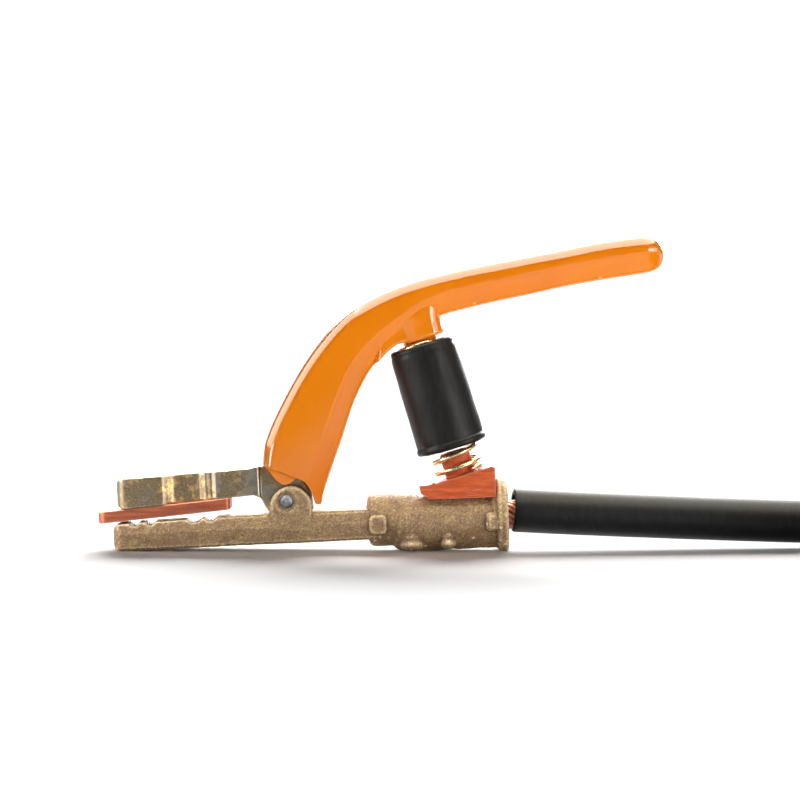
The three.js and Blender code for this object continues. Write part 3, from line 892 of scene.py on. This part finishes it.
def set_screw(node):
    """A set screw with a hexagon socket, a chamfered foot and a thread's shallow rings."""
    low, high = extent(node)
    middle = (low + high) / 2
    radius = (high.y - low.y) / 2
    length = high.z - low.z
    profile = [(0, 0), (radius - 0.5, 0), (radius, 0.5)]
    pitch = 0.8
    for k in range(int((length - 2) / pitch)):
        at = pitch + k * pitch
        profile += [(radius, at), (radius - 0.3, at + 0.3), (radius, at + 0.6)]
    profile += [(radius, length - 0.6), (radius - 0.6, length), (0, length)]
    foot = Vector((middle.x, 0, low.z))
    screw = lathe(node + "_steel", profile, along(foot, foot + UP), 32)
    hexagon = rod("hexagon", foot - UP, foot + UP * 2.4, radius * 0.55, 6)
    return shown(shaded(cut(screw, hexagon), 30), FIXED, "bright_steel", node)


def pivot_pin():
    """The pin, with its ends peened into shallow domes."""
    low, high = extent("pivot_pin")
    length = high.y - low.y
    end = [(0, 0.1), (1.2, 0.15), (2.0, 0.3), (2.4, 0.7), (2.6, 1.2), (2.65, 1.8)]
    profile = end + [(r, length - h) for r, h in reversed(end)]
    pin = lathe("pivot_pin_steel", profile, along((0, low.y, 0), (0, high.y, 0)), 40)
    return shown(shaded(pin, 50), FIXED, "bright_steel", "pivot_pin")


# ---- the upper jaw and its copper plate


def rivet_holes():
    middles = [sum(corner.x for corner in extent(f"contact_rivet_{end}")) / 2 for end in ("front", "rear")]
    return [rod("rivet_hole", (x, 0, -20), (x, 0, 20), 2.55, 32) for x in middles]


def upper_jaw():
    """A stamping: its side view and its plan, with the notch for the electrode's tail in both sides."""
    front = extent("upper_jaw")[0].x
    front_z = -0.45
    slope = 0.0594

    def under(x):
        return front_z + slope * (x - front)

    neck = smooth_line([(-13.4, under(-13.4)), (-10.8, 1.4), (-9.3, -1.6), (-6.6, -6.1)], 4)
    shoulder = smooth_line([(-9.4, 14.5), (-12, 14.7), (-14.6, 14.0)], 3)
    side = [*arc(front + 2.6, under(front) + 2.7, 2.6, 180, 270, 6), *neck, *arc(0, 0, 9, 223, 345, 16),
            *arc(0, 0, 10.1, -8, 44, 8), (17, 34), (11, 37), (2.2, 13), (-0.6, 6.4), (-6.9, 12.1),
            *shoulder, (-50, under(-50) + 12.0), *arc(front + 2.8, under(front) + 10.0, 2.8, 90, 180, 6)]
    edge = smooth_line([(front + 5, 9), (-52.6, 9), (-50.4, 8.7), (-48.4, 7.2), (-46.4, 5.8), (-43.5, 5.45),
                        (-38.5, 5.45), (-35.8, 5.6), (-34.4, 6.5), (-33.2, 7.3), (-32.4, 7.3), (-31.1, 6.8),
                        (-30.2, 6.9), (-28.9, 7.7), (-27.6, 7.7), (-15.5, 7.3)], 3)
    edge = [*arc(front + 4.2, 4.8, 4.2, 180, 90, 8), *edge, (-11.4, 7.2), (-10.8, 6.6), (-10.7, 5.5),
            (30, 5.5)]
    plan = [*edge, *((x, -y) for x, y in reversed(edge))]
    made = common(prism("upper_jaw_steel", side, -9.2, 9.2), block("plan", plan, -20, 60))
    tools = [rod("pin_hole", (0, -20, 0), (0, 20, 0), 3.2, 32), *rivet_holes()]
    tail_half = 5.0
    beside_tail = [(-2, 9.2), (40, 9.2), (40, 60), (-2, 60)]
    tools += [prism("beside_tail", beside_tail, y0, y1) for y0, y1 in ((-20, -tail_half), (tail_half, 20))]
    cut(made, *tools)
    softened(made, 0.38, 3)
    roughened(made, 0.05, 2.6, 9.0)
    return shown(made, MOVING, "jaw_steel", "upper_jaw")


def contact_plate():
    """The copper strip, sheared and with its edges worn round."""
    low, high = extent("contact_plate")
    thick = 4.8
    steeper = 0.022  # than the CAD's plate, as the photo shows it
    rise = (high.z - low.z - thick) / (high.x - low.x) + steeper
    half = (high.y - low.y) / 2
    plan = [*arc(low.x + 3.5, 3.5 - half, 3.5, 180, 270, 8), *arc(high.x - 2, 2 - half, 2, 270, 360, 6),
            *arc(high.x - 2, half - 2, 2, 0, 90, 6), *arc(low.x + 3.5, half - 3.5, 3.5, 90, 180, 8)]
    rings = [[(x, y, low.z + 0.2 + rise * (x - low.x) + up) for x, y in plan] for up in (0, thick)]
    made = rings_mesh("contact_plate_copper", rings)
    cut(made, *rivet_holes())
    softened(made, 0.32, 4)
    roughened(made, 0.05, 3.4, 4.0)
    return shown(made, MOVING, "contact_copper", "contact_plate")


def contact_rivet(node):
    """A copper rivet, with both ends hammered into low domes."""
    low, high = extent(node)
    radius = (high.y - low.y) / 2
    length = high.z - low.z
    end = [(0, 0), (1.0, 0.04), (1.8, 0.2), (radius, 0.6)]
    profile = end + [(r, length - h) for r, h in reversed(end)]
    x = (low.x + high.x) / 2
    rivet = lathe(node + "_copper", profile, along((x, 0, low.z), (x, 0, high.z)), 32)
    return shown(shaded(rivet, 50), MOVING, "contact_copper", node)


# ---- the lever

# pairs of points on the outer and the inner edge of the horn and the bar
LEVER = [((-10.4, 4.1), (14.3, -6)), ((-9.3, 13.7), (14.8, 1)), ((-7.0, 25.2), (19.6, 14)),
         ((1.3, 41.5), (24.2, 25.4)), ((11.9, 57.8), (29.6, 39.5)), ((23.3, 70.8), (36.4, 51.5)),
         ((32.7, 77.9), (43.8, 58.8)), ((48.1, 84.8), (54.5, 66.6)), ((61.7, 88.6), (65, 72.4)),
         ((80.8, 92.1), (83.5, 76.6)), ((99.9, 95.0), (102.5, 79.8)), ((117.9, 97.6), (120, 82.8)),
         ((132.9, 99.9), (135, 84.7)), ((147.0, 101.2), (148.9, 86.2))]
LEVER_HALF = 11.5
BAND = 7.8  # the width of the sloping band along the inner edge


def lever_section(height, half):
    """Half a section, from the middle of the inner edge to the middle of the outer one."""
    band = min(BAND, 0.53 * height)
    top = min(3.4, 0.3 * height)
    inner = [(0, 0), (0, 0.4 * half), (0, half - 6.4), (0.3, half - 5.4), (1.0, half - 4.5),
             (band * 0.5, half - 2.4), (band * 0.97, half - 0.2), (band + 0.3, half)]
    flat = height - top - band
    crown = 0.15
    side = [(band + flat * t, half + crown * math.sin(math.pi * t)) for t in (0.35, 0.65, 0.97)]
    slope = [(height - top + 0.3, half - 0.25), (height - top * 0.5, half - 1.6),
             (height - 0.5, half - 3.1), (height - 0.05, half - 4.2), (height + 0.3, half - 6.5),
             (height + 0.5, 0)]
    return inner + side + slope


def lever_ring(ox, oz, ix, iz, half, scale):
    """A section stood on the line from the inner point to the outer one, shrunk about its middle."""
    height = math.hypot(ox - ix, oz - iz)
    across = Vector(((ox - ix) / height, 0, (oz - iz) / height))
    middle = height * 0.5
    start = Vector((ix, 0, iz))
    right = lever_section(height, half)
    ring = [(u, y) for u, y in right] + [(u, -y) for u, y in reversed(right[1:-1])]
    return [start + across * (middle + (u - middle) * scale) + Vector((0, y * scale, 0)) for u, y in ring]


def lever_skin():
    """The horn and the bar, a little narrower towards the bar's rounded tip."""
    stations = smooth_line([(*outer, *inner, LEVER_HALF - 1.4 * max(0, n - 8) / 5)
                            for n, (outer, inner) in enumerate(LEVER)], 6)
    rings = [lever_ring(*station, 1.0) for station in stations]
    last, before = stations[-1], stations[-3]
    line = Vector((last[0] - before[0], 0, last[1] - before[1])).normalized()
    reach = extent("lever_handle")[1].x - (last[0] + last[2]) / 2 + 1.0
    roundness = 2.7
    for s in (0.2, 0.4, 0.58, 0.72, 0.83, 0.91, 0.96, 0.99, 0.999):
        scale = (1 - s**roundness) ** (1 / roundness)
        rings.append([point + line * reach * s for point in lever_ring(*last, scale)])
    return rings_mesh("lever_handle_moulding", rings)


SEAT_POINT = Vector((72.0, 0, 7.1))  # the foot of the spring
LEAN = math.radians(14.4)
SPRING_AXIS = Vector((-math.sin(LEAN), 0, math.cos(LEAN)))
SPRING_HEIGHT = 58.0


def spring_place(height):
    """A point on the spring's axis."""
    return SEAT_POINT + SPRING_AXIS * height


SPRING_STAND = along(spring_place(0), spring_place(1))


def squared_ring(middle, wide, deep, count=40):
    """A ring square to the spring's axis, with its corners pushed out."""
    ring = []
    for k in range(count):
        angle = 2 * math.pi * k / count
        across, toward = (math.copysign(abs(t) ** 0.6, t) for t in (math.cos(angle), math.sin(angle)))
        out = Vector((wide * across * math.cos(LEAN), deep * toward, wide * across * math.sin(LEAN)))
        ring.append(middle + out)
    return ring


def lever_boss():
    """The boss that the spring bears on, which flares into the bar and into the horn."""
    beside_axis = Vector((1.7, 0, 0.6))
    # how far above the spring, and how wide and deep, from its foot upwards
    levels = [(0, 8.3, 9.9), (0.5, 8.7, 10.4), (6, 8.9, 10.6), (9.5, 9.8, 10.8), (14, 11.5, 10.8)]
    column = rings_mesh("boss", [squared_ring(spring_place(SPRING_HEIGHT + up) + beside_axis, wide, deep)
                                 for up, wide, deep in levels])
    fillet = [(40, 55), (43.8, 58.8), (48.0, 61.9), (57, 64.2), (57, 76), (45, 76)]
    return joined(column, prism("fillet", fillet, -9.4, 9.4))


def lever_handle():
    """The moulding, cut to shape at the pivot and hollow there for the upper jaw's tail."""
    made = joined(lever_skin(), lever_boss())
    mouth = [(-20, 14.6), (-8.4, 14.4), (-5.7, 13.4), (-2.9, 12.7), (4.6, 9.2), (7.6, 7.8), (8.9, 6.2),
             (10.3, 3.4), (11.1, -0.4), (12.0, -2.1), (13.9, -2.3), (15.4, 0.8), (25, 0.8), (25, -30),
             (-20, -30)]
    hollow = [(-0.9, -8), (-0.9, 6.6), (1.4, 13.4), (9.8, 38), (12, 41), (22, 41), (20, 27), (17.5, 17),
              (14, 8.6), (11.3, 6), (11.2, -8)]
    cut(made, prism("mouth", mouth, -14, 14))
    cut(made, prism("hollow", hollow, -8.5, 8.5))
    web = [(-8.6, 15), (-5.8, 11.2), (-3.9, 8.6), (-1.05, 6.5), (1.7, 7.0), (4.5, 8.9), (5.5, 20), (-3, 22)]
    web_out = 9.6
    joined(made, prism("web", web, -web_out, -SLOT_HALF), prism("web", web, SLOT_HALF, web_out))
    top, foot = (spring_place(SPRING_HEIGHT + up) for up in (3, -10))
    joined(made, rod("spigot", top, foot, 6.9, 40, 0.6))
    softened(made, 0.5, 3)
    return shown(made, MOVING, "orange_plastic", "lever_handle")


# ---- the spring, its seat and its sleeve


def spring():
    """A coil spring of round wire with closed ends, drawn at one length, though the real one shortens as the lever
    is squeezed.
    """
    radius, wire, turns = 9.1, 1.05, 11
    dead = 2 * wire + 0.35  # the rise of a closed end turn
    low = wire + 0.3
    span = SPRING_HEIGHT - 2 * low
    pitch = (span - 2 * dead) / (turns - 2)
    per_turn = 28
    line = []
    for step in range(turns * per_turn + 1):
        turn = step / per_turn
        height = dead + (turn - 1) * pitch
        if turn < 1:
            height = turn * dead
        if turn > turns - 1:
            height = span - (turns - turn) * dead
        angle = 2 * math.pi * turn + 0.6
        out = (radius * math.cos(angle), radius * math.sin(angle), low + height)
        line.append(SPRING_STAND @ Vector(out))
    last = len(line) - 1
    # the wire is rounded off at both ends
    stations = [(i, wire * min(1, 0.35 + 0.3 * min(i, last - i)), 0) for i in range(last + 1)]
    obj = shaded(rings_mesh("spring_wire", swept(line, stations, 12)), 60)
    shown(obj, None, "spring_zinc", "spring")
    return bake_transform(obj)


def spring_sleeve():
    """The rubber sleeve, with a rolled rim at its foot, a lip at its top and an uneven side."""
    foot, length = 11.7, 44.6
    profile = [(11.3, 1.2), (12.0, 0.15), (13.7, 0), (14.5, 0.45), (14.75, 1.4), (14.55, 2.5), (14.1, 3.0),
               (14.1, 3.5), (14.3, 4.2), (14.3, 8), (14.15, 16), (14.0, 24), (13.85, 32), (13.7, 40),
               (13.6, 41.4), (13.3, 41.9), (13.3, 42.5), (13.4, 43.0), (13.2, 44.0), (12.7, 44.5),
               (11.5, length), (11.0, 44.2), (11.0, 30), (11.1, 15)]
    stand = along(spring_place(foot), spring_place(foot + 1))
    obj = lathe("spring_sleeve_rubber", profile, stand, 72, closed=True)
    subdivide = obj.modifiers.new("subdivide", "SUBSURF")
    subdivide.levels = 1
    subdivide.render_levels = 1
    applied(obj)
    roughened(obj, 0.12, 5.0, 2.0)
    roughened(obj, 0.35, 17.0, 4.0)
    return shown(shaded(obj, 60), MOVING, "sleeve_rubber", "spring_sleeve")


def spring_seat():
    """The wedge, sawn from fibre board, with its saddle for the barrel and its spigot for the spring."""
    low, high = extent("spring_seat")
    left, right, bottom = 54.5, 85.9, -2.0

    def incline(x):
        return SEAT_POINT.z + (x - SEAT_POINT.x) * math.tan(LEAN)

    toe = smooth_line([(left, 3.9), (57.2, 3.9), (59.2, 4.2), (60.6, 4.9)], 3)
    outline = [(left + 0.6, 0.6), (left + 4.0, bottom), (right, bottom - 0.2),
               *arc(right - 1, incline(right) - 1.2, 1.0, 0, 100, 5), (61.4, incline(61.4)), *reversed(toe)]
    made = prism("spring_seat_fibre", outline, low.y + 0.05, high.y - 0.05)
    barrel = axial("barrel", BARREL_Z, [(12.3, 40), (12.3, 100)])
    cut(made, cut(barrel, slab_above(-1.3, 30, 110)))
    joined(made, rod("spigot", spring_place(-2), spring_place(10), 6.2, 40, 0.7))
    softened(made, 0.34, 2)
    roughened(made, 0.03, 1.6, 6.0)
    return shown(made, FIXED, "red_fibre", "spring_seat")


def ferrule():
    """The copper sleeve over the strands in the barrel, with a belled mouth."""
    low, high = extent("cable_ferrule")
    z = (low.z + high.z) / 2
    obj = axial("cable_ferrule_copper", z, [(6.4, low.x), (6.9, low.x), (6.9, high.x - 1.2), (6.75, high.x),
                                            (6.45, high.x - 0.3), (6.4, high.x - 3)])
    return shown(shaded(obj, 30), FIXED, "strand_copper", "cable_ferrule")


jaw_body()
for name in ("front", "rear"):
    set_screw(f"cable_clamp_screw_{name}")
    contact_rivet(f"contact_rivet_{name}")
pivot_pin()
upper_jaw()
contact_plate()
lever_handle()
spring()
spring_sleeve()
spring_seat()
ferrule()
conductor()

# ---- the floor and the light


def stage():
    """A white floor. It ends in front of what the camera sees, since more would pale the lever."""
    size = 6.0
    near = -0.72
    corners = [(-size, near, 0), (size, near, 0), (size, size, 0), (-size, size, 0)]
    floor = mesh_object("floor", corners, [(0, 1, 2, 3)])
    look = Look("floor_paper", roughness=0.8, specular_ior_level=0.0)
    grain = look.noise(2.0, detail=3)
    look.color(grain, 0.3, 0.7, (0.835, 0.835, 0.835), (0.85, 0.85, 0.85))
    floor.data.materials.append(look.material)


def lamp(name, kind, place, target, energy, **settings):
    """A light in metres and watts, or for the sun in watts per square metre."""
    data = bpy.data.lights.new(name, kind)
    data.energy = energy
    for key, value in settings.items():
        setattr(data, key, value)
    obj = linked(name, data)
    obj.location = place
    obj.rotation_euler = (Vector(target) - Vector(place)).to_track_quat("-Z", "Y").to_euler()
    return obj


def panel(name, place, target, energy, wide, high):
    return lamp(name, "AREA", place, target, energy, shape="RECTANGLE", size=wide, size_y=high)


def gloss(name, place, energy, wide, high, color=(1, 1, 1)):
    """A panel that only shows in reflections."""
    made = panel(name, place, (0, 0, 0.05), energy, wide, high)
    made.visible_diffuse = False
    made.visible_camera = False
    made.data.color = color


def studio():
    """White behind everything for the camera, but dim as a light, and dimmest from the camera's side."""
    world = bpy.data.worlds.new("studio")
    world.use_nodes = True
    tree = world.node_tree
    room = tree.nodes["Background"]
    backdrop = tree.nodes.new("ShaderNodeBackground")
    backdrop.inputs["Strength"].default_value = 1.1
    coords = tree.nodes.new("ShaderNodeTexCoord")
    axes = tree.nodes.new("ShaderNodeSeparateXYZ")
    tree.links.new(coords.outputs["Generated"], axes.inputs[0])
    shade = tree.nodes.new("ShaderNodeMapRange")
    shade.interpolation_type = "SMOOTHSTEP"
    for key, value in zip(RANGE, (-0.93, -0.55, 0.08, 0.17)):
        shade.inputs[key].default_value = value
    tree.links.new(axes.outputs["Y"], shade.inputs["Value"])
    tree.links.new(shade.outputs["Result"], room.inputs["Strength"])
    for node in (room, backdrop):
        node.inputs["Color"].default_value = (1, 1, 1, 1)
    seen = tree.nodes.new("ShaderNodeLightPath")
    mix = tree.nodes.new("ShaderNodeMixShader")
    tree.links.new(seen.outputs["Is Camera Ray"], mix.inputs[0])
    tree.links.new(room.outputs[0], mix.inputs[1])
    tree.links.new(backdrop.outputs[0], mix.inputs[2])
    tree.links.new(mix.outputs[0], tree.nodes["World Output"].inputs["Surface"])
    bpy.context.scene.world = world
    bpy.context.scene.view_settings.view_transform = "Standard"


def lights():
    """A wide soft sun from behind, a weak lamp above, two low ones in front, and panels for highlights."""
    warm = (1.0, 0.96, 0.78)
    lamp("sun", "SUN", (0.10, 0.86, 0.44), (0, 0, 0), 9.0, angle=math.radians(50))
    panel("overhead", (0.05, -0.05, 0.9), (0, 0, 0.05), 0.15, 0.9, 0.2)
    panel("right", (0.95, -0.80, 0.07), (0.02, 0, 0.06), 9.6, 0.45, 0.4)
    panel("left", (-1.0, -0.75, 0.07), (-0.05, 0, 0.05), 4.7, 0.22, 0.4)
    gloss("top_panel", (0.05, 0.0, 0.9), 44.0, 1.2, 1.3, warm)
    gloss("right_panel", (1.0, -0.30, 0.1), 3.6, 0.5, 0.5)
    gloss("left_panel", (-1.0, -0.30, 0.05), 8.0, 0.4, 0.4)
    gloss("upper_left_panel", (-0.85, 0.15, 0.62), 16.0, 0.7, 0.9, warm)


stage()
studio()
lights()
